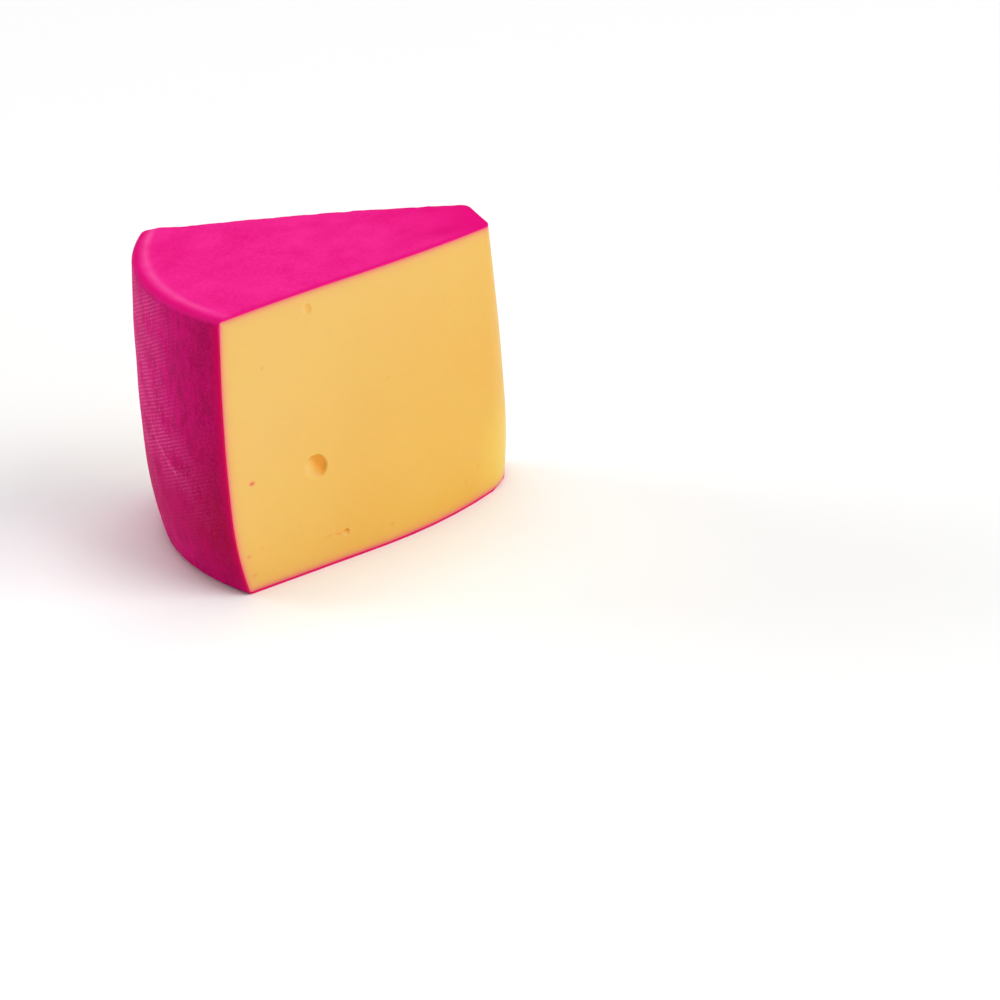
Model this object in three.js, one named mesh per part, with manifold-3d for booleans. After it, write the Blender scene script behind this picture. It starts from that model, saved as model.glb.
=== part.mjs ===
// A wedge of cheese, standing on its flat foot: a slice cut from a small, barrel-shaped wheel.
// It has two pieces. The paste is the soft yellow body, with the eyes that the cut has opened.
// The coating is the thin coloured skin of the wheel's top, side and foot, cut through with the paste.
//
// Millimetres, +Z up. +X runs along the front cut face, from the coated side to the blunt end.
// +Y runs from the front cut face to the rear one. The origin is on the foot, under the box's middle.

import * as THREE from 'three';
import { mergeVertices } from 'three/addons/utils/BufferGeometryUtils.js';
import Module from 'manifold-3d';

// The wheel. While the slice is worked out, y = 0 is the plane of the front cut.
const WHEEL_RADIUS = 79.7;
const WHEEL_AXIS = new THREE.Vector2(70, 24);
const HEIGHT = 109; // of the shoulder above the foot
const SHOULDER_ROUND = 3;
// The top is highest at this x, and back to the shoulder's height at reach to either side.
const CROWN = { rise: 2.3, x: 75, reach: 75 };
const COAT_THICKNESS = 0.95;
const COAT_GAP = 0.3;

// The barrel shape: the wheel and the blunt end are widest at the belly.
const BELLY_HEIGHT = 35;
const FOOT_POWER = 2.2;
const SHOULDER_POWER = 2;
const WHEEL_SWELL = 3.9;
const END_SWELL = 2.7;
const END_SWELL_FROM = 66; // the x at which the blunt end's swell sets in

// The front cut bends back towards the blunt end, which is a narrow third cut. A corner's reach is how
// far its rounding goes along each side, and the bend's rounding takes up all that the nose's leaves.
const CUTS = {
  foot: {
    bend: { x: 86.8, y: 0 },
    nose: { x: 129.7, y: 13.5, reach: 15 },
    heel: { x: 136.3, y: 30.3, reach: 3 },
  },
  top: {
    bend: { x: 86.8, y: 0 },
    nose: { x: 122.7, y: 7, reach: 2.2 },
    heel: { x: 128.7, y: 28, reach: 3 },
  },
};
const REAR_CUT_ANGLE = THREE.MathUtils.degToRad(26.4);

// The soft slice leans towards its coated side. Its origin is this point of the foot.
const LEAN = 8.9;
const ORIGIN = new THREE.Vector3(60.34, 43.53, 0);

// Eyes opened by the cuts: the middle, the half sizes across and up, the depth and the tilt.
const FRONT_EYES = [
  { x: 32.4, z: 40.8, across: 4.9, up: 4.7, depth: 2.6, tilt: 25 },
  { x: 35.1, z: 101.3, across: 1.7, up: 2.1, depth: 0.9, tilt: 0 },
  { x: 42.4, z: 10.8, across: 1.8, up: 1.4, depth: 1.2, tilt: -30 },
];
const REAR_EYES = [
  { x: 97, z: 39.5, across: 3.1, up: 3.7, depth: 2.2, tilt: -20 },
  { x: 52, z: 12, across: 1.7, up: 1.3, depth: 1, tilt: 15 },
  { x: 71, z: 101, across: 1.3, up: 1.5, depth: 0.8, tilt: 0 },
];

// Facets along each stretch of the outline and up the side.
const STEPS = { front: 8, bend: 8, nose: 7, heel: 3, rear: 12, rind: 22, side: 14, shoulder: 3, top: 5 };
const CAP_MIDDLE = new THREE.Vector2(62, 30);

// How swollen the slice is at a height: 1 at the belly, falling to 0 at the foot and at the shoulder.
function swell(z) {
  const below = Math.max(0, 1 - z / BELLY_HEIGHT);
  const above = Math.max(0, (z - BELLY_HEIGHT) / (HEIGHT - BELLY_HEIGHT));
  return 1 - below ** FOOT_POWER - above ** SHOULDER_POWER;
}

// A softened corner: a quadratic curve from reach before the corner to reach after it.
function softCorner(before, corner, after, reach, steps) {
  const start = corner.clone().add(before.clone().sub(corner).setLength(reach));
  const end = corner.clone().add(after.clone().sub(corner).setLength(reach));
  return new THREE.QuadraticBezierCurve(start, corner, end).getPoints(steps);
}

// The cut line at the foot or the top, from the start of the bend to the start of the rear cut.
// Overshoot moves the cuts outwards, for a solid that has to pass through them.
function cutLine({ bend, nose, heel }, overshoot) {
  const bendAt = new THREE.Vector2(bend.x, bend.y - overshoot);
  const noseAt = new THREE.Vector2(nose.x + overshoot, nose.y - overshoot);
  const heelAt = new THREE.Vector2(heel.x + overshoot, heel.y + overshoot);
  const frontStart = new THREE.Vector2(0, bendAt.y);
  const bendReach = bendAt.distanceTo(noseAt) - nose.reach;
  const rearEnd = heelAt.clone().add(new THREE.Vector2(-Math.cos(REAR_CUT_ANGLE), Math.sin(REAR_CUT_ANGLE)));
  return [
    ...softCorner(frontStart, bendAt, noseAt, bendReach, STEPS.bend).slice(0, -1),
    ...softCorner(bendAt, noseAt, heelAt, nose.reach, STEPS.nose),
    ...softCorner(noseAt, heelAt, rearEnd, heel.reach, STEPS.heel),
  ];
}

// The stretch from a to b in equal steps, with a and without b.
function straight(a, b, steps) {
  return Array.from({ length: steps }, (_, i) => a.clone().lerp(b, i / steps));
}

// The slice's outline at a height, anticlockwise from the front end of the coated side.
function outline(z, tuck, overshoot) {
  const foot = cutLine(CUTS.foot, overshoot);
  const top = cutLine(CUTS.top, overshoot);
  const cut = foot.map((point, i) => {
    const at = point.clone().lerp(top[i], z / HEIGHT);
    const share = (at.x - END_SWELL_FROM) / (CUTS.foot.nose.x - END_SWELL_FROM);
    at.x += END_SWELL * swell(z) * THREE.MathUtils.clamp(share, 0, 1) ** 2;
    return at;
  });

  const radius = WHEEL_RADIUS - WHEEL_SWELL * (1 - swell(z)) - tuck;
  const depth = WHEEL_AXIS.y + overshoot;
  const frontEnd = new THREE.Vector2(WHEEL_AXIS.x - Math.sqrt(radius ** 2 - depth ** 2), -overshoot);

  const rearStart = cut.at(-1);
  const rearWay = new THREE.Vector2(-Math.cos(REAR_CUT_ANGLE), Math.sin(REAR_CUT_ANGLE));
  const fromAxis = rearStart.clone().sub(WHEEL_AXIS);
  const along = fromAxis.dot(rearWay);
  const length = Math.sqrt(along ** 2 - fromAxis.lengthSq() + radius ** 2) - along;
  const rearEnd = rearStart.clone().addScaledVector(rearWay, length);

  const startAngle = rearEnd.clone().sub(WHEEL_AXIS).angle();
  const endAngle = frontEnd.clone().sub(WHEEL_AXIS).angle();
  const rind = Array.from({ length: STEPS.rind }, (_, i) => {
    const angle = THREE.MathUtils.lerp(startAngle, endAngle, i / STEPS.rind);
    return new THREE.Vector2(Math.cos(angle), Math.sin(angle)).multiplyScalar(radius).add(WHEEL_AXIS);
  });
  return [
    ...straight(frontEnd, cut[0], STEPS.front),
    ...cut.slice(0, -1),
    ...straight(rearStart, rearEnd, STEPS.rear),
    ...rind,
  ];
}

// One closed ring of points: an outline at a height, raised by the crown of the top.
function ring(points, z) {
  return points.map(({ x, y }) => {
    const crown = CROWN.rise * (1 - ((x - CROWN.x) / CROWN.reach) ** 2);
    return new THREE.Vector3(x, y, z * (1 + crown / HEIGHT));
  });
}

// A closed skin over rings that go up the side and in across the top, with a point at each end.
function skin(footPole, rings, topPole) {
  const count = rings[0].length;
  const points = [footPole, ...rings.flat(), topPole];
  const index = [];
  const at = (k, i) => 1 + k * count + (i % count);
  for (let i = 0; i < count; i++) {
    index.push(0, at(0, i + 1), at(0, i));
    index.push(at(rings.length - 1, i), at(rings.length - 1, i + 1), points.length - 1);
    for (let k = 0; k + 1 < rings.length; k++) {
      index.push(at(k, i), at(k, i + 1), at(k + 1, i + 1));
      index.push(at(k, i), at(k + 1, i + 1), at(k + 1, i));
    }
  }
  return new THREE.BufferGeometry().setFromPoints(points).setIndex(index);
}

// The slice with its top, side and foot drawn in by inset, and its cuts moved out by overshoot.
function slice(inset, overshoot) {
  const round = SHOULDER_ROUND - inset;
  const shoulderStart = HEIGHT - SHOULDER_ROUND;
  const rings = [];
  for (let i = 0; i <= STEPS.side; i++) {
    const z = inset + (shoulderStart - inset) * (i / STEPS.side) ** 1.4;
    rings.push(ring(outline(z, inset, overshoot), z));
  }
  for (let i = 1; i <= STEPS.shoulder; i++) {
    const angle = (Math.PI / 2) * (i / STEPS.shoulder);
    const z = shoulderStart + round * Math.sin(angle);
    rings.push(ring(outline(z, inset + round * (1 - Math.cos(angle)), overshoot), z));
  }
  const rim = outline(HEIGHT - inset, SHOULDER_ROUND, overshoot);
  for (let i = 1; i < STEPS.top; i++) {
    rings.push(ring(rim.map((point) => point.clone().lerp(CAP_MIDDLE, i / STEPS.top)), HEIGHT - inset));
  }
  return skin(ring([CAP_MIDDLE], inset)[0], rings, ring([CAP_MIDDLE], HEIGHT - inset)[0]);
}

// The rear cut's y at a place along it.
function rearCut({ x, z }) {
  const { foot, top } = CUTS;
  const heel = new THREE.Vector2(foot.heel.x, foot.heel.y).lerp(top.heel, z / HEIGHT);
  return heel.y + (heel.x + END_SWELL * swell(z) - x) * Math.tan(REAR_CUT_ANGLE);
}

// An eye: an ellipsoid whose middle lies in a cut, at the cut's y there and turned with the cut.
function eye({ x, z, across, up, depth, tilt }, y, turn) {
  return new THREE.SphereGeometry(1, 20, 12)
    .scale(across, depth, up)
    .rotateY(THREE.MathUtils.degToRad(tilt))
    .rotateZ(turn)
    .translate(x, y, z);
}

const wasm = await Module();
wasm.setup();

function toSolid(geometry) {
  geometry.deleteAttribute('normal');
  geometry.deleteAttribute('uv');
  const merged = mergeVertices(geometry);
  const index = merged.index.array;
  const triVerts = [];
  for (let i = 0; i < index.length; i += 3) {
    const [a, b, c] = index.slice(i, i + 3);
    if (a !== b && b !== c && c !== a) triVerts.push(a, b, c);
  }
  return new wasm.Manifold(new wasm.Mesh({
    numProp: 3,
    vertProperties: merged.attributes.position.array,
    triVerts: Uint32Array.from(triVerts),
  }));
}

// The finished piece: the solid's mesh, leaned over and moved to the origin.
function finish(name, solid, material) {
  const { vertProperties, triVerts } = solid.getMesh();
  const lean = new THREE.Matrix4().set(
    1, 0, -LEAN / HEIGHT, -ORIGIN.x,
    0, 1, 0, -ORIGIN.y,
    0, 0, 1, -ORIGIN.z,
    0, 0, 0, 1,
  );
  const geometry = new THREE.BufferGeometry();
  geometry.setAttribute('position', new THREE.BufferAttribute(vertProperties, 3));
  geometry.setIndex(new THREE.BufferAttribute(triVerts, 1));
  geometry.applyMatrix4(lean).computeVertexNormals();
  const mesh = new THREE.Mesh(geometry, material);
  mesh.name = name;
  return mesh;
}

function cheesePaste() {
  let paste = toSolid(slice(COAT_THICKNESS + COAT_GAP, 0));
  for (const size of FRONT_EYES) paste = paste.subtract(toSolid(eye(size, 0, 0)));
  for (const size of REAR_EYES) paste = paste.subtract(toSolid(eye(size, rearCut(size), -REAR_CUT_ANGLE)));
  return finish('cheese_paste', paste, new THREE.MeshStandardMaterial({ color: 0xf0bf66, roughness: 0.4 }));
}

function rindCoating() {
  const through = 4;
  const coat = toSolid(slice(0, 0)).subtract(toSolid(slice(COAT_THICKNESS, through)));
  return finish('rind_coating', coat, new THREE.MeshStandardMaterial({ color: 0xe6147d, roughness: 0.5 }));
}

const wedge = new THREE.Group();
wedge.add(cheesePaste(), rindCoating());

export default wedge;
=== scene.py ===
"""A slice of cheese in a bright coating, standing on a pale floor in soft light.

The slice was cut from a small, barrel-shaped wheel. Two surfaces are worked out here, both on grids:
the coating is one sheet that wraps the foot, the round side and the top, and the paste is a body
whose cut faces carry the eyes, the pin-pricks and the knife's soft marks.
Lengths are in millimetres until a mesh is made, and the slice is worked out with the front cut at y = 0.
"""
from functools import partial
import math
from types import SimpleNamespace

import bpy
import numpy as np
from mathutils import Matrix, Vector


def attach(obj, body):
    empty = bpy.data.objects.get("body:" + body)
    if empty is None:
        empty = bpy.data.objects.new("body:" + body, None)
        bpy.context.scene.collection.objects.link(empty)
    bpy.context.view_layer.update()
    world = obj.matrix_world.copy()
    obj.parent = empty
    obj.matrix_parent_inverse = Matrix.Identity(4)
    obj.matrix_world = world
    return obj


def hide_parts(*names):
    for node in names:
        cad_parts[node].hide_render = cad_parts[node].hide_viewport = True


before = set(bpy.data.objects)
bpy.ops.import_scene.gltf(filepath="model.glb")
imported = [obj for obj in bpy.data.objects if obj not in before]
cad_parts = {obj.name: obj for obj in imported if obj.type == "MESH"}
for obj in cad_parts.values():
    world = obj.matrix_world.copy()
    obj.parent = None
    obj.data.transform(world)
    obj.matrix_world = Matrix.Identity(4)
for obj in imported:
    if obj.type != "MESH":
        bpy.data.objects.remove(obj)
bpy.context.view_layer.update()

MM = 0.001

# The wheel, its coating and the slice's cuts: the same driving sizes as the construction has.
WHEEL_RADIUS = 79.7
WHEEL_AXIS = np.array([70.0, 24.0])
HEIGHT = 109
SHOULDER_ROUND = 3
CROWN_RISE, CROWN_X, CROWN_REACH = 2.3, 75, 75
BELLY_HEIGHT = 35
FOOT_POWER, SHOULDER_POWER = 2.2, 2
# How far the wheel's side and the blunt end swell at the belly, and where along the slice the
# blunt end's swelling starts.
WHEEL_SWELL, END_SWELL, END_SWELL_FROM = 3.9, 2.7, 66
# The cut line's corners: x and y, and how far the rounding of the nose and the heel goes to each side.
# The bend's rounding takes up all that the nose's leaves.
FOOT_CUTS = {"bend": (86.8, 0), "nose": (129.7, 13.5, 15), "heel": (136.3, 30.3, 3)}
TOP_CUTS = {"bend": (86.8, 0), "nose": (122.7, 7, 2.2), "heel": (128.7, 28, 3)}
REAR_CUT_ANGLE = math.radians(26.4)
REAR_WAY = np.array([-math.cos(REAR_CUT_ANGLE), math.sin(REAR_CUT_ANGLE)])
LEAN = 8.9
ORIGIN = np.array([60.34, 43.53, 0])

# The finished skin lies this far inside the construction's box.
SKIN_CLEARANCE = 0.12
COAT_THICKNESS = 0.95
FOOT_ROUND = 2.4

# Points along the cut line's stretches: the bend, the nose, the straight blunt end and the heel.
BEND_STEPS, NOSE_STEPS, BLUNT_STEPS, HEEL_STEPS = 45, 17, 12, 9
NOSE_MIDDLE = BEND_STEPS - 1 + NOSE_STEPS // 2
HEEL_MIDDLE = BEND_STEPS + NOSE_STEPS + BLUNT_STEPS - 1 + HEEL_STEPS // 2

# Cheesecloth: the pitch of its two thread families, and how steeply the first rises to the front cut.
THREAD_PITCH = (1.35, 1.95)
THREAD_SLOPE = math.radians(27)
IMPRINT_DEPTH = 0.12


# --- the slice's shape --------------------------------------------------------------------------

def unit(vector):
    """The vector of length 1 in the same direction."""
    return vector / np.linalg.norm(vector)


def smoothstep(low, high, value):
    """0 below low, 1 above high and an S-shaped rise between them."""
    t = np.clip((value - low) / (high - low), 0, 1)
    return t * t * (3 - 2 * t)


def bell(distance, width):
    """1 where the distance is 0, falling off as e to the minus its square, with distance in widths."""
    return np.exp(-(distance / width) ** 2)


def swell(z):
    """1 at the belly, falling by a power of the distance to 0 at the foot and at the shoulder."""
    below = np.clip(1 - z / BELLY_HEIGHT, 0, None)
    above = np.clip((z - BELLY_HEIGHT) / (HEIGHT - BELLY_HEIGHT), 0, None)
    return 1 - below ** FOOT_POWER - above ** SHOULDER_POWER


def soft_corner(before, corner, after, reach, steps):
    """A quadratic curve from reach before the corner to reach after it."""
    start = corner + unit(before - corner) * reach
    end = corner + unit(after - corner) * reach
    t = np.linspace(0, 1, steps)[:, None]
    return (1 - t) ** 2 * start + 2 * t * (1 - t) * corner + t ** 2 * end


def cut_corners(cuts):
    """The cut line at the foot or the top: the bend, the nose, the straight blunt end and the heel."""
    bend, nose, heel = (np.array(cuts[name][:2], float) for name in ("bend", "nose", "heel"))
    bend_reach = np.linalg.norm(nose - bend) - cuts["nose"][2]
    round_nose = soft_corner(bend, nose, heel, cuts["nose"][2], NOSE_STEPS)
    round_heel = soft_corner(nose, heel, heel + REAR_WAY, cuts["heel"][2], HEEL_STEPS)
    share = np.linspace(0, 1, BLUNT_STEPS + 2)[1:-1, None]
    return np.concatenate([
        soft_corner(np.zeros(2), bend, nose, bend_reach, BEND_STEPS),
        round_nose[1:],
        round_nose[-1] + share * (round_heel[0] - round_nose[-1]),
        round_heel,
    ])


def wheel_radius(z, tuck):
    """The wheel's radius at each height: the belly's, less what the swell lacks there, less a tuck."""
    return WHEEL_RADIUS - WHEEL_SWELL * (1 - swell(z)) - tuck


def cut_line(z):
    """Rows of the cut line from the bend to the heel, one row for each height in z.
    The foot's line turns evenly into the top's with height, and the blunt end swells with the belly."""
    t = (z / HEIGHT)[:, None, None]
    rows = (1 - t) * cut_corners(FOOT_CUTS) + t * cut_corners(TOP_CUTS)
    share = np.clip((rows[..., 0] - END_SWELL_FROM) / (FOOT_CUTS["nose"][0] - END_SWELL_FROM), 0, 1)
    rows[..., 0] += END_SWELL * swell(z)[:, None] * share ** 2
    return rows


def rim_corners(z, tuck):
    """Where the wheel's circle meets the front cut and the rear cut, and the circle's radius."""
    radius = wheel_radius(z, tuck)
    front = np.stack([WHEEL_AXIS[0] - np.sqrt(radius ** 2 - WHEEL_AXIS[1] ** 2), np.zeros_like(z)], -1)
    heel = cut_line(z)[:, -1]
    from_axis = heel - WHEEL_AXIS
    along = from_axis @ REAR_WAY
    length = np.sqrt(along ** 2 - (from_axis ** 2).sum(-1) + radius ** 2) - along
    return front, heel + length[:, None] * REAR_WAY, radius


def rind_rows(z, tuck, across):
    """The round side: an arc at each height, from the front cut, across 0, to the rear cut, across 1."""
    front, rear, radius = rim_corners(z, tuck)
    first = np.arctan2(*(front - WHEEL_AXIS).T[::-1]) % (2 * math.pi)
    last = np.arctan2(*(rear - WHEEL_AXIS).T[::-1]) % (2 * math.pi)
    angle = first[:, None] + (last - first)[:, None] * across
    return WHEEL_AXIS + radius[:, None, None] * np.stack([np.cos(angle), np.sin(angle)], -1)


def resample(points, share):
    """Points at the given shares of a line's length."""
    steps = np.linalg.norm(np.diff(points, axis=0), axis=1)
    length = np.concatenate([[0], np.cumsum(steps)])
    return np.stack([np.interp(share * length[-1], length, points[:, k]) for k in (0, 1)], -1)


def cap_rows(z, tuck, across, inward):
    """The top or the foot, as rows from the round side (inward 0) to the blunt end (inward 1).
    It is a Coons patch: the straight blends of its two pairs of opposite edges, less their corners."""
    height = np.array([float(z)])
    line = cut_line(height)[0]
    front_rim, rear_rim, _ = (side[0] for side in rim_corners(height, tuck))
    front = resample(np.concatenate([[front_rim], line[:NOSE_MIDDLE + 1]]), inward)[:, None]
    rear = resample(np.concatenate([line[HEEL_MIDDLE:], [rear_rim]])[::-1], inward)[:, None]
    nose = resample(line[NOSE_MIDDLE:HEEL_MIDDLE + 1], across)[None]
    rind = rind_rows(height, tuck, across)
    u = across[None, :, None]
    v = inward[:, None, None]
    corners = (1 - v) * ((1 - u) * front_rim + u * rear_rim)
    corners = corners + v * ((1 - u) * line[NOSE_MIDDLE] + u * line[HEEL_MIDDLE])
    return (1 - u) * front + u * rear + (1 - v) * rind + v * nose - corners


def in_place(plan, z):
    """Plan positions and heights as points: raised by the top's crown and leaned with height."""
    crown = CROWN_RISE * (1 - ((plan[..., 0] - CROWN_X) / CROWN_REACH) ** 2)
    points = np.concatenate([plan, np.broadcast_to(z, plan.shape[:-1])[..., None]], -1)
    points[..., 2] *= 1 + crown / HEIGHT
    points[..., 0] -= LEAN * points[..., 2] / HEIGHT
    return points - ORIGIN


# --- meshes -------------------------------------------------------------------------------------

# How finely spread() samples a stretch that it places points along.
SPREAD_SAMPLES = 6000


def grid_faces(rows, columns, start=0):
    """The quads of a grid whose vertices run row by row."""
    corner = start + np.arange(rows - 1)[:, None] * columns + np.arange(columns - 1)
    quads = np.stack([corner, corner + 1, corner + columns + 1, corner + columns], -1)
    return quads.reshape(-1, 4)


def add_attribute(mesh, name, domain, values):
    """Stores a number for each point or face, which a material reads by the attribute's name."""
    mesh.attributes.new(name, "FLOAT", domain).data.foreach_set("value", np.asarray(values, np.float32))


def link_object(name, data):
    """An object of the given mesh, camera or light, in the scene."""
    made = bpy.data.objects.new(name, data)
    bpy.context.scene.collection.objects.link(made)
    return made


def make_mesh(name, vertices, faces):
    """A smooth mesh from millimetre points and faces, as an object in the scene."""
    mesh = bpy.data.meshes.new(name)
    mesh.from_pydata((vertices * MM).tolist(), [], faces)
    mesh.polygons.foreach_set("use_smooth", np.ones(len(mesh.polygons), bool))
    mesh.update()
    return link_object(name, mesh)


def spread(start, end, spacing, fine=()):
    """Places from start to end about spacing apart, and closer around each stretch in fine, which is
    its middle, reach and spacing. They lie evenly along the running sum of 1 / spacing."""
    places = np.linspace(start, end, SPREAD_SAMPLES)
    rate = np.full_like(places, 1 / spacing)
    for middle, reach, near in fine:
        closer = (1 / near - 1 / spacing) * np.exp(-((places - middle) / reach) ** 4)
        rate = np.maximum(rate, 1 / spacing + closer)
    count = np.concatenate([[0], np.cumsum((rate[1:] + rate[:-1]) / 2 * np.diff(places))])
    return np.interp(np.linspace(0, count[-1], round(count[-1]) + 1), count, places)


def ripple(x, y, wavelength, seed, waves=12):
    """Smooth seeded unevenness between about -1 and 1: a sum of sine waves in random directions,
    each from 0.7 to 1.4 wavelengths long."""
    rng = np.random.default_rng(seed)
    total = np.zeros(np.broadcast(x, y).shape)
    for _ in range(waves):
        way, phase = rng.uniform(0, 2 * math.pi, 2)
        length = wavelength * rng.uniform(0.7, 1.4)
        total += np.sin(2 * math.pi * (x * math.cos(way) + y * math.sin(way)) / length + phase)
    return total / math.sqrt(2 * waves)


def surface_normals(points):
    """Unit normals of a grid of points: the cross product of its two directions there."""
    across = np.gradient(points, axis=1)
    along = np.gradient(points, axis=0)
    normals = np.cross(across, along)
    return normals / np.linalg.norm(normals, axis=-1, keepdims=True)


# --- the coating --------------------------------------------------------------------------------

COLUMNS, INNER_COLUMNS = 240, 20
FOOT_ROWS, ROUND_ROWS, SIDE_ROWS, TOP_ROWS = 12, 10, 276, 60
INNER_SHOULDER = 0.7
# A fold that the cloth had, as places along the side from the front cut and up from the foot.
FOLD = np.array([(42.5, 54.0), (40.3, 50.2), (35.0, 46.5), (27.5, 41.8)])
FOLD_WIDTH, FOLD_RISE = 1, 0.08
# Where the threads are pressed in deepest, in the same way.
PRESSED_BAND = np.array([(36.0, 56.0), (29.0, 46.0), (22.0, 38.0), (16.0, 28.0)])
PRESSED_WIDTH = 10
# How far the outer sheet sinks in from its smooth shape, and how unevenly.
TOP_SINK, TOP_UNEVEN = 0.12, 0.07
SIDE_SINK, SIDE_UNEVEN = 0.14, 0.1
# At the top's rear corner: a low bump, the edge worn down along the rear cut, and a notch in it.
BUMP_RISE, BUMP_FROM_RIM, BUMP_REACH = 0.55, 5, 6
WORN_EDGE_DEPTH, WORN_EDGE_WIDTH = 0.16, 2.5
NOTCH_DEPTH, NOTCH_FROM_RIM, NOTCH_WIDTH = 0.3, 13, 1.2
# A darker patch on the top, near the blunt end: its middle and its reach, in plan.
DARK_PATCH_MIDDLE, DARK_PATCH_REACH = (105, 11), (9, 5)


def coat_levels(inset, shoulder, foot_round):
    """The side's heights and tucks: up the foot's rounding, the side and the shoulder's rounding.
    Both roundings are quarter circles."""
    quarter = np.linspace(0, math.pi / 2, ROUND_ROWS)
    foot = inset - SKIN_CLEARANCE
    side_start = foot + foot_round
    side_end = HEIGHT - inset - shoulder
    z = np.concatenate([
        side_start - foot_round * np.cos(quarter),
        np.linspace(side_start, side_end, SIDE_ROWS)[1:-1],
        side_end + shoulder * np.sin(quarter),
    ])
    tuck = np.concatenate([
        inset + foot_round * (1 - np.sin(quarter)),
        np.full(SIDE_ROWS - 2, inset),
        inset + shoulder * (1 - np.cos(quarter)),
    ])
    return z, tuck


def coat_sheet(inset, shoulder, foot_round, across):
    """The coating's sheet as rows: in along the foot, up the round side, and out along the top."""
    z, tuck = coat_levels(inset, shoulder, foot_round)
    foot = cap_rows(z[0], tuck[0], across, np.linspace(1, 0, FOOT_ROWS)[:-1])
    side = rind_rows(z, tuck, across)
    top = cap_rows(z[-1], tuck[-1], across, np.linspace(0, 1, TOP_ROWS)[1:])
    heights = np.concatenate([np.full(len(foot), z[0]), z, np.full(len(top), z[-1])])
    plan = np.concatenate([foot, side, top])
    return plan, heights[:, None], in_place(plan, heights[:, None])


def weave(along, up):
    """The imprint of woven cloth: 1 in the small pits that it pressed, 0 on the ribs between them.
    One less the higher of two families of ribs: a cosine squared, and 0.8 of one to the fourth power."""
    s = (-along * math.sin(THREAD_SLOPE) + up * math.cos(THREAD_SLOPE)) / THREAD_PITCH[0]
    t = (along * math.cos(THREAD_SLOPE) + up * math.sin(THREAD_SLOPE)) / THREAD_PITCH[1]
    return 1 - np.maximum(np.cos(math.pi * s) ** 2, 0.8 * np.cos(math.pi * t) ** 4)


def near_line(x, y, line, width):
    """A soft ridge along a line: 1 on it, falling off by a bell curve of the distance to it."""
    nearest = np.full(x.shape, np.inf)
    for start, end in zip(line[:-1], line[1:]):
        way = end - start
        t = np.clip(((x - start[0]) * way[0] + (y - start[1]) * way[1]) / (way @ way), 0, 1)
        nearest = np.minimum(nearest, np.hypot(x - start[0] - t * way[0], y - start[1] - t * way[1]))
    return bell(nearest, width)


def coat_places(plan, height, outer, across):
    """Where each point of the outer sheet lies, in millimetres: along the side from the front cut, up,
    over the sheet from the top's rim (negative down the side), and in from the top's two cut edges.
    Three more values, from 0 to 1, say that it is on the side, on the top, or where the cloth lay."""
    rim = len(outer) - TOP_ROWS
    side = slice(FOOT_ROWS - 1, rim + 1)
    round_length = np.linalg.norm(np.diff(plan[side], axis=1), axis=-1).sum(1).mean()
    from_front = across * round_length + np.zeros_like(height)
    up = height + np.zeros_like(from_front)
    steps = np.linalg.norm(np.diff(outer, axis=0), axis=-1)
    climbed = np.concatenate([np.zeros((1, COLUMNS + 1)), np.cumsum(steps, 0)])
    from_rim = climbed - climbed[rim]
    width = np.linalg.norm(plan[:, 0] - plan[:, -1], axis=-1)[:, None]
    on_side = np.zeros_like(up)
    on_side[side] = smoothstep(0.5, 5, up[side])
    return SimpleNamespace(
        plan=plan, from_front=from_front, up=up, from_rim=from_rim,
        from_rear_edge=(1 - across) * width, from_front_edge=across * width,
        on_side=on_side, on_top=smoothstep(-1, 1.5, from_rim),
        clothed=on_side * (1 - smoothstep(-5.5, -3, from_rim)),
    )


def cloth_imprint(at):
    """The woven cloth's imprint: its pits, how strongly it shows, and the fold, each from 0 to 1.
    It shows away from the front cut and along the pressed band, and is worn away in patches of
    several sizes and nearly all over low down towards the front cut. Its threads wander a little."""
    side_ripple = partial(ripple, at.from_front, at.up)
    kept = 0.6 + 0.5 * side_ripple(wavelength=15, seed=5) + 0.3 * side_ripple(wavelength=4, seed=7)
    kept = np.clip(kept + 0.4 * side_ripple(wavelength=1.7, seed=12), 0, 1)
    pressed = smoothstep(18, 46, at.from_front)
    pressed = pressed + near_line(at.from_front, at.up, PRESSED_BAND, PRESSED_WIDTH)
    low_front = (1 - smoothstep(55, 85, at.from_front)) * (1 - smoothstep(28, 52, at.up))
    strength = at.clothed * np.clip(0.06 + pressed, 0, 1) * kept * (1 - 0.8 * low_front)
    wander = 0.3 * side_ripple(wavelength=40, seed=8) + 0.12 * side_ripple(wavelength=7, seed=9)
    pits = weave(wander - at.from_front, at.up + wander)
    fold = at.on_side * near_line(at.from_front, at.up, FOLD, FOLD_WIDTH)
    fold = fold * np.clip(1.2 - 1.2 * pits, 0, 1) * (0.6 + 0.4 * kept)
    return strength * pits, strength, fold


def coat_dents(at, groove, fold):
    """How deep the outer sheet is pressed in, in millimetres: the imprint, with the fold standing out
    of it, the unevenness of a brushed coat, and the bump, worn edge and notch at the rear corner."""
    unevenness = ripple(at.plan[..., 0], at.plan[..., 1], wavelength=11, seed=3)
    dent = IMPRINT_DEPTH * groove - FOLD_RISE * fold
    dent += at.on_top * (TOP_SINK + TOP_UNEVEN * unevenness)
    unevenness = ripple(at.from_front, at.up, wavelength=17, seed=4)
    dent += at.clothed * (SIDE_SINK + SIDE_UNEVEN * unevenness)
    from_bump = np.hypot(at.from_rear_edge / BUMP_REACH, (at.from_rim - BUMP_FROM_RIM) / BUMP_REACH)
    dent -= BUMP_RISE * at.on_top * bell(from_bump, 1)
    at_edge = bell(at.from_rear_edge, WORN_EDGE_WIDTH)
    dent += WORN_EDGE_DEPTH * at.on_top * at_edge * (1 + ripple(at.from_rim, 0, wavelength=7, seed=13))
    dent += NOTCH_DEPTH * at.on_top * at_edge * bell(at.from_rim - NOTCH_FROM_RIM, NOTCH_WIDTH)
    return dent


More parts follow.
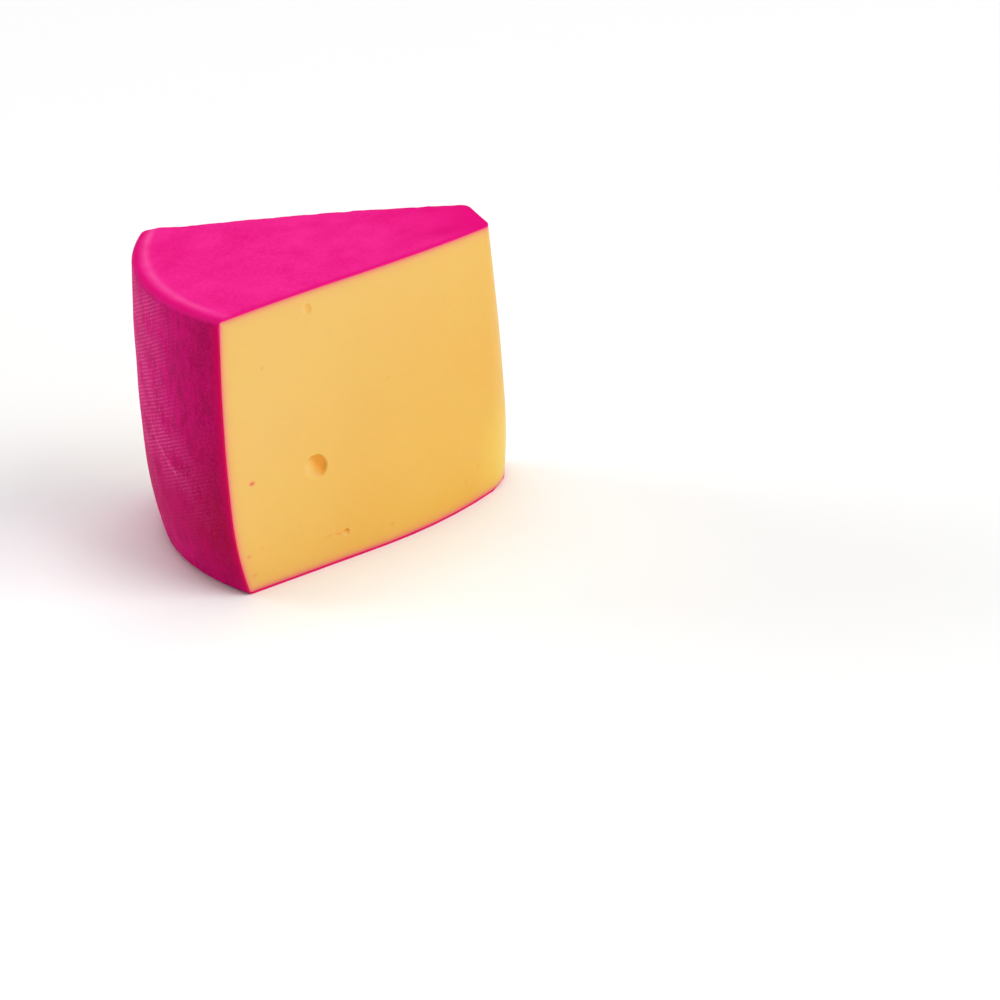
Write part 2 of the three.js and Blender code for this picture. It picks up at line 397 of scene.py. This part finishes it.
def coat_tints(at):
    """Where the skin's colour changes, each from 0 to 1. A painted highlight lies just inside the top's
    rim.
    It is darker just below the rim, as painted shade, and in a patch on the top and along the top's front
    edge. It is redder right beside the front cut, and darker as painted shade over a wider stretch there
    and low down on the side."""
    # A painted highlight on the crest of the shoulder's rounding, patchy and weaker towards the front
    # cut.
    painted_rim_highlight = bell(at.from_rim - 1.9, 1.3)
    painted_rim_highlight = painted_rim_highlight * (0.75 + 0.25 * ripple(at.from_front, at.from_rim, wavelength=9, seed=6))
    painted_rim_highlight = painted_rim_highlight * (0.45 + 0.55 * smoothstep(4, 30, at.from_front))
    # Darker: painted shade on the rounding just below the rim, a patch on the top near the blunt end and
    # a line along the top's front edge.
    dark_patch = [bell(at.plan[..., k] - DARK_PATCH_MIDDLE[k], DARK_PATCH_REACH[k]) for k in (0, 1)]
    darkening = bell(at.from_rim + 1.4, 1.6) + 0.8 * at.on_top * dark_patch[0] * dark_patch[1]
    darkening = np.maximum(darkening, 0.8 * at.on_top * bell(at.from_front_edge, 1.3))
    # Painted shade: the side darker towards the front cut and low down.
    beside_cut = 1 - smoothstep(0, 34, at.from_front)
    low_down = (1 - smoothstep(22, 75, at.up)) * smoothstep(0, 26, at.up)
    return {
        "side": 1 - smoothstep(-4.5, -0.5, at.from_rim),
        "painted_rim_highlight": painted_rim_highlight,
        "darkening": darkening,
        "near_cut": bell(at.from_front, 2.6) * (0.55 + 0.45 * smoothstep(15, 85, at.up)),
        "painted_side_shade": np.clip(at.on_side * (0.5 * beside_cut + 0.5 * low_down), 0, 1),
    }


def coat_faces(rows):
    """The faces of the outer sheet, of the inner sheet turned round and of the cut edges between, and
    a 0 for each face of the outer sheet and a 1 for each of the others.
    Both sheets have the same rows, so along the rear and front cuts the edges are quads. Along the
    blunt end the inner sheet has fewer columns, so each of its steps has a fan of triangles."""
    columns, inner_columns = COLUMNS + 1, INNER_COLUMNS + 1
    inner_start = rows * columns
    outer_rear = np.arange(rows - 1) * columns
    inner_rear = inner_start + np.arange(rows - 1) * inner_columns
    outer_front, inner_front = outer_rear + COLUMNS, inner_rear + INNER_COLUMNS
    outer_skin = grid_faces(rows, columns)
    others = [
        grid_faces(rows, inner_columns, inner_start)[:, ::-1],
        np.stack([outer_rear + columns, inner_rear + inner_columns, inner_rear, outer_rear], -1),
        np.stack([outer_front, inner_front, inner_front + inner_columns, outer_front + columns], -1),
    ]
    step = COLUMNS // INNER_COLUMNS
    j, k = np.arange(COLUMNS), np.arange(INNER_COLUMNS)
    for row, order in ((0, -1), (rows - 1, 1)):
        outer_row, inner_row = row * columns, inner_start + row * inner_columns
        fan = np.stack([outer_row + j, outer_row + j + 1, inner_row + j // step], -1)
        gap = np.stack([inner_row + k + 1, inner_row + k, outer_row + (k + 1) * step], -1)
        others += [fan[:, ::order], gap[:, ::order]]
    faces = [face for part in [outer_skin] + others for face in part.tolist()]
    on_cut = np.ones(len(faces))
    on_cut[:len(outer_skin)] = 0
    return faces, on_cut


def rind_coating():
    """The coating: the outer sheet with the cloth's imprint, a plain inner sheet, and the cut edges
    between. Its columns run from the rear cut to the front one, so that the faces look outwards."""
    across = np.linspace(1, 0, COLUMNS + 1)
    plan, height, outer = coat_sheet(SKIN_CLEARANCE, SHOULDER_ROUND - SKIN_CLEARANCE,
                                     FOOT_ROUND - SKIN_CLEARANCE, across)
    inner_across = across[::COLUMNS // INNER_COLUMNS]
    _, _, inner = coat_sheet(COAT_THICKNESS, INNER_SHOULDER, INNER_SHOULDER, inner_across)
    at = coat_places(plan, height, outer, across)
    groove, strength, fold = cloth_imprint(at)
    outer = outer - surface_normals(outer) * coat_dents(at, groove, fold)[..., None]

    faces, on_cut = coat_faces(len(outer))
    vertices = np.concatenate([outer.reshape(-1, 3), inner.reshape(-1, 3)])
    piece = make_mesh("rind_coating_skin", vertices, faces)
    fields = {"groove": groove, "strength": strength, "fold": fold, **coat_tints(at)}
    nothing_inside = np.zeros(inner[..., 0].size)
    for name, values in fields.items():
        add_attribute(piece.data, name, "POINT", np.concatenate([values.ravel(), nothing_inside]))
    add_attribute(piece.data, "cut", "FACE", on_cut)
    piece.data.set_sharp_from_angle(angle=math.radians(50))
    return piece


# --- the paste ----------------------------------------------------------------------------------

# Eyes: the middle's x and its height, half sizes along the cut and up, the depth, and the tilt in
# degrees. The first three of the front cut are round enough to need closer points.
FRONT_EYES = [
    (32.4, 40.8, 4.9, 4.7, 2.6, 25),
    (35.1, 101.3, 2.1, 2.3, 0.5, 20),
    (42.4, 10.8, 1.8, 1.4, 1.1, -30),
    (38.4, 11.4, 1.7, 0.5, 0.4, 12),
    (34.3, 11.9, 1.5, 0.45, 0.3, 8),
]
REAR_EYES = [
    (97, 39.5, 3.1, 3.7, 2.1, -20),
    (52, 12, 1.7, 1.3, 0.9, 15),
    (71, 101, 1.3, 1.5, 0.7, 0),
]
# Pin-pricks and flecks on the front cut: the middle, the size and how strongly they are coloured.
FLECKS = [
    (4.8, 43.2, 1.0, 1.0), (14.1, 85.5, 0.6, 0.35), (67.7, 65.2, 0.6, 0.3), (63.5, 7.6, 0.6, 0.4),
    (109.4, 14.6, 0.8, 0.3), (101.5, 10.8, 0.7, 0.3), (0.2, 15.0, 0.8, 0.5), (1.6, 7.0, 0.9, 0.35),
    (6.0, 16.6, 0.7, 0.3), (68.2, 109.9, 0.6, 0.6),
]
FLECK_DEPTH = 0.06
EYE_LIP = 0.05
# How far the cut faces sink in from their smooth shape, and how unevenly, from the knife.
KNIFE_SINK, KNIFE_UNEVEN = 0.06, 0.04
PINK_EDGE_REACH = 1.1
# How far apart points lie on the cut faces, and at the eyes, with the margin that goes round an eye.
FRONT_SPACING, REAR_SPACING = 0.58, 1.5
FRONT_EYE_SPACING, REAR_EYE_SPACING, EYE_MARGIN = 0.24, 0.35, 0.4
HIDDEN_COLUMNS = 18
CLOSE_EYES = FRONT_EYES[:3]


def eye_dent(dx, z, middle_z, across, up, depth, tilt):
    """An ellipsoid's bowl with a softly rounded rim, deepest at its upper right: its depth, and the
    strength of two tints, painted shade on the high wall there and a painted highlight on the shallow
    wall at the lower left."""
    turn = math.radians(tilt)
    dz = z - middle_z
    u = (dx * math.cos(turn) - dz * math.sin(turn)) / across
    v = (dx * math.sin(turn) + dz * math.cos(turn)) / up
    r = np.hypot(u, v)
    bowl = np.sqrt(np.clip(1 - r ** 2, 0, None))
    high = smoothstep(-0.9, 0.5, 0.6 * u + 0.8 * v)
    lip = EYE_LIP * np.exp(-np.clip(r - 1, 0, None) * 5) * (r >= 1)
    inside = (1 - EYE_LIP) * bowl + EYE_LIP * (r < 1)
    dent = depth * (inside * (0.5 + 0.5 * high) + 0.5 * lip)
    tint = bowl ** 0.5 * min(1, depth)
    orange = smoothstep(-0.75, 0.6, 0.7 * u + 0.7 * v)
    return dent, tint * orange, tint * (1 - orange)


def paste_levels():
    """Heights and tucks up the paste, closer together at the eyes, with a small rounding at each end."""
    quarter = np.linspace(0, math.pi / 2, 4)
    foot = COAT_THICKNESS - SKIN_CLEARANCE
    low, high = foot + INNER_SHOULDER, HEIGHT - COAT_THICKNESS - INNER_SHOULDER
    fine = [(z, 1.4 * up + EYE_MARGIN, FRONT_EYE_SPACING) for _, z, _, up, _, _ in CLOSE_EYES]
    middle = spread(low, high, FRONT_SPACING, fine)
    round_tuck = INNER_SHOULDER * (1 - np.sin(quarter[:-1]))
    z = np.concatenate([low - INNER_SHOULDER * np.cos(quarter[:-1]), middle,
                        high + INNER_SHOULDER * np.cos(quarter[-2::-1])])
    tuck = COAT_THICKNESS + np.concatenate([round_tuck, np.zeros_like(middle), round_tuck[::-1]])
    return z, tuck


def paste_rows(z, tuck):
    """Rings of the paste, and how many points the flat front cut, the cut line and the rear cut have.
    A ring goes along the front cut, round the bend, nose and heel, along the rear cut, and back along
    the side under the coating."""
    line = cut_line(z)
    front, rear, _ = rim_corners(z, tuck)
    fine = [(x, 1.3 * across + EYE_MARGIN, FRONT_EYE_SPACING) for x, _, across, _, _, _ in CLOSE_EYES]
    places = spread(front[:, 0].min(), line[:, 0, 0].max(), FRONT_SPACING, fine)
    share = ((places - places[0]) / np.ptp(places))[None, :-1]
    flat = front[:, None] + share[..., None] * (line[:, :1] - front[:, None])
    fine = [(x, 1.3 * across + EYE_MARGIN, REAR_EYE_SPACING) for x, _, across, _, _, _ in REAR_EYES]
    spacing = REAR_SPACING * math.cos(REAR_CUT_ANGLE)
    places = spread(rear[:, 0].min(), line[:, -1, 0].max(), spacing, fine)
    share = ((places[-1] - places) / np.ptp(places))[None, ::-1][:, 1:-1]
    back = line[:, -1:] + share[..., None] * (rear - line[:, -1])[:, None]
    under = rind_rows(z, tuck, np.linspace(1, 0, HIDDEN_COLUMNS))[:, :-1]
    return np.concatenate([flat, line, back, under], 1), flat.shape[1], line.shape[1], back.shape[1]


def cut_marks(x, height, is_front, is_rear):
    """The marks in the cut faces: how deep the eyes and flecks are, in millimetres, and the strength
    of three tints: painted shade on the eyes' high walls, a painted highlight on their shallow walls, and
    the flecks' colour.
    An eye is an ellipsoid's bowl, and a fleck a bell curve. The rear cut's eyes are measured along its
    slant."""
    dent, eye, pale, fleck = (np.zeros_like(x) for _ in range(4))
    for eyes, here, slant in ((FRONT_EYES, is_front, 1), (REAR_EYES, is_rear, -REAR_WAY[0])):
        for middle_x, *sizes in eyes:
            depth, orange, shallow = eye_dent((x - middle_x) / slant, height, *sizes)
            dent = np.maximum(dent, depth * here)
            eye = np.maximum(eye, orange * here)
            pale = np.maximum(pale, shallow * here)
    for middle_x, middle_z, size, tint in FLECKS:
        away = ((x - middle_x) / size) ** 2 + ((height - middle_z) / (0.7 * size)) ** 2
        spot = np.exp(-away) * is_front
        fleck = np.maximum(fleck, tint * spot)
        dent += FLECK_DEPTH * spot
    return dent, eye, pale, fleck


def ring_faces(rows, columns):
    """The faces of a stack of rings, closed by a fan at each end to the two vertices after them all."""
    ring = np.arange(columns)
    after = (ring + 1) % columns
    row_start = np.arange(rows - 1) * columns
    row_end = row_start + columns - 1
    seam = np.stack([row_end, row_start, row_start + columns, row_end + columns], -1)
    last_row, foot_end, top_end = (rows - 1) * columns, rows * columns, rows * columns + 1
    foot = np.stack([after, ring, np.full(columns, foot_end)], -1)
    top = np.stack([last_row + ring, last_row + after, np.full(columns, top_end)], -1)
    return [face for part in (grid_faces(rows, columns), seam, foot, top) for face in part.tolist()]


def cheese_paste():
    """The paste: rings stacked from the foot to the top, pressed in at the marks, and a fan at each end.
    The pink edge's tint falls off as e to the minus the distance from the coating, in reaches."""
    z, tuck = paste_levels()
    plan, flat, curve, back = paste_rows(z, tuck)
    rows, columns = plan.shape[:2]
    points = in_place(plan, z[:, None])
    wrapped = np.concatenate([points[:, -1:], points, points[:, :1]], 1)
    normals = surface_normals(wrapped)[:, 1:-1]

    x, height = plan[..., 0], z[:, None] + np.zeros(columns)
    column = np.arange(columns)
    front_end, cut_end = flat + curve, flat + curve + back
    dent, eye, pale, fleck = cut_marks(x, height, column < front_end,
                                       (column >= front_end) & (column < cut_end))
    steps = np.linalg.norm(np.diff(plan, axis=1), axis=-1)
    along = np.concatenate([np.zeros((rows, 1)), np.cumsum(steps, 1)], 1)
    cut = column < cut_end
    unmarked = dent < 0.01
    dent += cut * (KNIFE_SINK + KNIFE_UNEVEN * ripple(along, height, wavelength=24, seed=11)) * unmarked

    # The paste is pinker near the coating's edge all round, and the low thin end is painted lighter and
    # yellower, as painted light coming through it.
    total = along[:, cut_end][:, None]
    to_coat = np.minimum(np.minimum(height - z[0], z[-1] - height), np.minimum(along, total - along))
    pink_edge = cut * np.exp(-np.clip(to_coat, 0, None) / PINK_EDGE_REACH)
    clear = smoothstep(105, 126, x) * (1 - smoothstep(14, 46, height))

    points = points - normals * dent[..., None]
    ends = np.stack([points[k].mean(0) for k in (0, -1)])
    vertices = np.concatenate([points.reshape(-1, 3), ends])
    piece = make_mesh("cheese_paste_body", vertices, ring_faces(rows, columns))
    for name, values in (("pink_edge", pink_edge), ("eye", eye), ("pale", pale), ("fleck", fleck), ("clear", clear)):
        add_attribute(piece.data, name, "POINT", np.concatenate([values.ravel(), [0, 0]]))
    piece.data.set_sharp_from_angle(angle=math.radians(60))
    return piece


# --- materials ----------------------------------------------------------------------------------

def colour(hex_code):
    """A linear RGBA colour from an sRGB hex code."""
    values = [int(hex_code[i:i + 2], 16) / 255 for i in (1, 3, 5)]
    return [v / 12.92 if v <= 0.04045 else ((v + 0.055) / 1.055) ** 2.4 for v in values] + [1]


def add(tree, kind, inputs=None, **settings):
    """Adds a shader node, sets its properties and fills its inputs: a socket is linked, a value set."""
    made = tree.nodes.new("ShaderNode" + kind)
    for name, value in settings.items():
        setattr(made, name, value)
    for name, value in (inputs or {}).items():
        if isinstance(value, bpy.types.NodeSocket):
            tree.links.new(value, made.inputs[name])
        else:
            made.inputs[name].default_value = value
    return made


def new_material(name):
    """A material with an empty node tree, and that tree."""
    material = bpy.data.materials.new(name)
    material.use_nodes = True
    material.node_tree.nodes.clear()
    return material, material.node_tree


def layered(tree, base, layers):
    """A base colour with layers over it, the last one on top: each is where it lies (0 to 1), how
    strongly it covers there, and its colour."""
    for where, strength, over in layers:
        share = add(tree, "Math", {0: where, 1: strength}, operation="MULTIPLY").outputs[0]
        over = colour(over) if isinstance(over, str) else over
        base = add(tree, "Mix", {0: share, 6: base, 7: over}, data_type="RGBA").outputs[2]
    return base


def brushed_cheese_coating():
    """Cheese coating, a pigmented polymer dispersion brushed on and dried over cloth-pressed rind.
    The eye sees a nearly matt magenta skin with a fine grain. On the side the threads' pits are deeper
    in colour than the paler ribs between them, partly the coating's own colour and partly painted shade
    in the pits and painted sheen on the ribs. The shoulder carries a painted highlight with painted shade
    below it, painted shade darkens the colour to crimson towards the foot and the front cut, and there is
    a redder line where the knife has gone through."""
    material, tree = new_material("brushed_cheese_coating")
    place = add(tree, "TexCoord").outputs["Object"]
    groove, strength, side, fold, painted_rim_highlight, darkening, near_cut, painted_side_shade, cut = (
        add(tree, "Attribute", attribute_name=name).outputs["Fac"]
        for name in ("groove", "strength", "side", "fold", "painted_rim_highlight", "darkening", "near_cut", "painted_side_shade", "cut"))
    length, _, height = add(tree, "SeparateXYZ", {"Vector": place}).outputs

    # Brush streaks 4 mm wide and mottling of 2.5 mm, both three times as tall, clouds of 14 mm and
    # a grain of 1.1 mm, which is drawn coarser than the real one so that it shows.
    upright = add(tree, "VectorMath", {0: place, 1: (1, 1, 0.35)}, operation="MULTIPLY").outputs["Vector"]
    streak = add(tree, "TexNoise", {
        "Vector": upright, "Scale": 1 / (4 * MM), "Detail": 6, "Roughness": 0.7,
    }).outputs["Fac"]
    streak = add(tree, "MapRange", {"Value": streak, "From Min": 0.42, "From Max": 0.6}).outputs[0]
    cloud = add(tree, "TexNoise", {"Vector": place, "Scale": 1 / (14 * MM), "Detail": 3}).outputs["Fac"]
    cloud = add(tree, "MapRange", {"Value": cloud, "From Min": 0.35, "From Max": 0.65}).outputs[0]
    mottle = add(tree, "TexNoise", {
        "Vector": upright, "Scale": 1 / (2.5 * MM), "Detail": 3,
    }).outputs["Fac"]
    mottle = add(tree, "MapRange", {"Value": mottle, "From Min": 0.45, "From Max": 0.62}).outputs[0]
    grain = add(tree, "TexNoise", {"Vector": place, "Scale": 1 / (1.1 * MM), "Detail": 3}).outputs["Fac"]
    speck = add(tree, "MapRange", {"Value": grain, "From Min": 0.35, "From Max": 0.7}).outputs[0]

    tip = add(tree, "MapRange", {"Value": length, "From Min": 15 * MM, "From Max": 60 * MM}).outputs[0]
    top_skin = layered(tree, colour("#E0147C"), [
        (cloud, 1, "#E82288"),
        (speck, 0.22, "#FF44A0"),
        (tip, 0.85, "#DE0272"),
    ])
    # The pits are darker and the ribs paler: partly the coating's own colour, partly painted shade in the
    # pits and painted sheen on the ribs. The side's base is a little darker than the top's, partly as
    # painted shade, and its first layer paints shade towards the front cut and low down.
    rib = add(tree, "Math", {0: strength, 1: groove}, operation="SUBTRACT").outputs[0]
    side_skin = layered(tree, colour("#D80078"), [
        (painted_side_shade, 1, "#A40028"),
        (streak, 0.5, "#A60050"),
        (mottle, 0.4, "#98003C"),
        (speck, 0.24, "#F02890"),
        (rib, 0.72, "#F24E9C"),
        (groove, 0.6, "#9C004C"),
        (fold, 0.35, "#F878B4"),
        (near_cut, 0.85, "#E0005C"),
    ])
    # The cut edge's colour changes with height as painted light and shade, brightest along the top.
    above_foot = add(tree, "MapRange", {"Value": height, "From Max": 3 * MM}).outputs[0]
    at_top = add(tree, "MapRange", {
        "Value": height, "From Min": 100 * MM, "From Max": 106 * MM,
    }).outputs[0]
    cut_skin = layered(tree, colour("#EE1468"), [
        (above_foot, 1, "#DC0E52"),
        (at_top, 1, "#FA0C80"),
    ])
    # Over the top's colour: the side, a painted highlight inside the rim, darkening with painted shade
    # below the rim, and the cut edges.
    skin = layered(tree, top_skin, [
        (side, 1, side_skin),
        (painted_rim_highlight, 0.38, "#FF74B6"),
        (darkening, 0.7, "#D2006A"),
        (cut, 1, cut_skin),
    ])

    bump = add(tree, "Bump", {"Height": grain, "Strength": 0.25, "Distance": 0.2 * MM})
    rough = add(tree, "MapRange", {"Value": speck, "To Min": 0.52, "To Max": 0.66}).outputs[0]
    shader = add(tree, "BsdfPrincipled", {
        "Base Color": skin, "Roughness": rough, "IOR": 1.45, "Specular IOR Level": 0.03,
        "Normal": bump.outputs[0],
    })
    add(tree, "OutputMaterial", {"Surface": shader.outputs[0]})
    return material


def cut_semi_hard_cheese():
    """Semi-hard cheese paste, cut with a long knife.
    The eye sees a smooth, slightly greasy, warm yellow face that light sinks into a little, deeper yellow
    low down and towards the blunt end, partly as painted shade, with a pink edge next to the coating,
    eyes with painted shade on their high walls and a painted highlight on their low ones, painted light
    through the low thin end, and a few dark pin-pricks."""
    material, tree = new_material("cut_semi_hard_cheese")
    place = add(tree, "TexCoord").outputs["Object"]
    pink_edge, eye, pale, fleck, clear = (add(tree, "Attribute", attribute_name=name).outputs["Fac"]
                                    for name in ("pink_edge", "eye", "pale", "fleck", "clear"))

    # The paste pales up and towards the rind, partly its own colour and partly painted shade low down
    # towards the blunt end. Clouds of 45 mm lie in it, and curds of 2.6 mm.
    paler = add(tree, "VectorMath", {0: place, 1: (-0.8, 0, 0.8)}, operation="DOT_PRODUCT")
    paler = add(tree, "MapRange", {
        "Value": paler.outputs["Value"], "From Min": -45 * MM, "From Max": 100 * MM,
    }).outputs[0]
    cloud = add(tree, "TexNoise", {"Vector": place, "Scale": 1 / (45 * MM), "Detail": 2}).outputs["Fac"]
    cloud = add(tree, "MapRange", {"Value": cloud, "From Min": 0.35, "From Max": 0.65}).outputs[0]
    curd = add(tree, "TexNoise", {"Vector": place, "Scale": 1 / (2.6 * MM), "Detail": 2}).outputs["Fac"]
    body = layered(tree, colour("#EEB212"), [
        (paler, 1, "#F9C768"),
        (cloud, 0.3, "#F8CA5C"),
        (curd, 0.12, "#FBDA95"),
        # Painted light coming through the low thin end.
        (clear, 0.6, "#FAD84C"),
        (pink_edge, 0.95, "#FF3E78"),
        # The eyes: painted shade on their high walls and a painted highlight on their shallow walls.
        (eye, 0.95, "#FFA800"),
        (pale, 0.22, "#FFE9B4"),
        (fleck, 1, "#F03850"),
    ])

    bump = add(tree, "Bump", {"Height": curd, "Strength": 0.12, "Distance": 0.2 * MM})
    rough = add(tree, "MapRange", {"Value": curd, "To Min": 0.34, "To Max": 0.46}).outputs[0]
    shader = add(tree, "BsdfPrincipled", {
        "Base Color": body, "Roughness": rough, "IOR": 1.45, "Normal": bump.outputs[0],
        "Subsurface Weight": 0.4, "Subsurface Radius": (1.0, 0.5, 0.18), "Subsurface Scale": 3 * MM,
    })
    add(tree, "OutputMaterial", {"Surface": shader.outputs[0]})
    return material


def studio_white():
    """A plain matt white painted sweep, which lightens to pure white away from the slice."""
    material, tree = new_material("studio_white")
    place = add(tree, "TexCoord").outputs["Object"]
    distance = add(tree, "VectorMath", {0: place}, operation="LENGTH").outputs["Value"]
    away = add(tree, "MapRange", {"Value": distance, "From Min": 450 * MM, "From Max": 1300 * MM},
               interpolation_type="SMOOTHSTEP").outputs[0]
    paint = add(tree, "BsdfPrincipled", {"Base Color": colour("#FAFAFA"), "Roughness": 0.6})
    glow = add(tree, "Emission")
    mixed = add(tree, "MixShader", {0: away, 1: paint.outputs[0], 2: glow.outputs[0]})
    add(tree, "OutputMaterial", {"Surface": mixed.outputs[0]})
    return material


# --- camera, light and floor ----------------------------------------------------------------------

CAMERA_AIM = np.array([39.82, -59.32, 11.8])
CAMERA_DISTANCE = 1278
CAMERA_TURN, CAMERA_DROP = math.radians(38.914), math.radians(26.826)
CAMERA_LENS, CAMERA_SENSOR = 125.28, 36
# Lamps stand this far off and are aimed a little below the slice's middle.
LAMP_DISTANCE = 6000
LAMP_AIM = np.array([0.0, 0.0, 40.0])
# The light of the surroundings, as a share of full white.
AMBIENT = 0.04
FLOOR_REACH = 20000


def point_at(made, place, aim):
    """Puts an object at a place in millimetres, with its -Z axis towards aim."""
    way = Vector(np.asarray(aim, float) - place)
    made.location = Vector(place) * MM
    made.rotation_euler = way.to_track_quat("-Z", "Y").to_euler()


def camera():
    """A long lens that looks from the front left and above, past the slice's front right."""
    data = bpy.data.cameras.new("camera")
    data.lens = CAMERA_LENS
    data.sensor_width = CAMERA_SENSOR
    data.clip_end = FLOOR_REACH * MM
    made = link_object("camera", data)
    level = np.array([math.sin(CAMERA_TURN), math.cos(CAMERA_TURN)]) * math.cos(CAMERA_DROP)
    way = np.array([level[0], level[1], -math.sin(CAMERA_DROP)])
    point_at(made, CAMERA_AIM - way * CAMERA_DISTANCE, CAMERA_AIM)
    bpy.context.scene.camera = made


def softbox(name, way, size, light):
    """A square soft light. Its power is set so that a white card facing it shows the given lightness:
    a lamp of P watts at distance d gives P / (pi d) ** 2 of full white."""
    data = bpy.data.lights.new(name, "AREA")
    data.shape = "SQUARE"
    data.size = size * MM
    data.energy = light * (math.pi * LAMP_DISTANCE * MM) ** 2
    place = LAMP_AIM + unit(np.array(way, float)) * LAMP_DISTANCE
    point_at(link_object(name, data), place, LAMP_AIM)


def light_the_scene():
    """A key light from the front right, one overhead, and weaker ones in front and behind on the left.
    The surroundings are seen white, as paper is, but add only a little light of their own."""
    world = bpy.data.worlds.new("studio")
    bpy.context.scene.world = world
    world.use_nodes = True
    tree = world.node_tree
    seen = add(tree, "LightPath").outputs["Is Camera Ray"]
    strength = add(tree, "MapRange", {"Value": seen, "To Min": AMBIENT, "To Max": 1.0}).outputs[0]
    background = tree.nodes["Background"]
    background.inputs["Color"].default_value = (1, 1, 1, 1)
    tree.links.new(strength, background.inputs["Strength"])
    softbox("key", (0.35, -0.6, 0.72), size=3600, light=0.54)
    softbox("front", (0.1, -0.97, 0.2), size=3000, light=0.12)
    softbox("overhead", (0.05, 0.1, 1), size=4500, light=0.7)
    softbox("rear_left", (-0.6, 0.75, 0.3), size=3000, light=0.46)
    bpy.context.scene.view_settings.view_transform = "Standard"


def lay_floor():
    """The floor: one large flat sheet under the slice, out to where its far edge is out of sight."""
    corners = np.array([(-1, -1, 0), (1, -1, 0), (1, 1, 0), (-1, 1, 0)], float) * FLOOR_REACH
    floor = make_mesh("floor", corners, [(0, 1, 2, 3)])
    floor.data.materials.append(studio_white())


# --- the slice -----------------------------------------------------------------------------------

camera()
light_the_scene()
lay_floor()

coating = rind_coating()
coating.data.materials.append(brushed_cheese_coating())
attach(coating, "root")
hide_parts("rind_coating")

paste = cheese_paste()
paste.data.materials.append(cut_semi_hard_cheese())
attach(paste, "root")
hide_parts("cheese_paste")
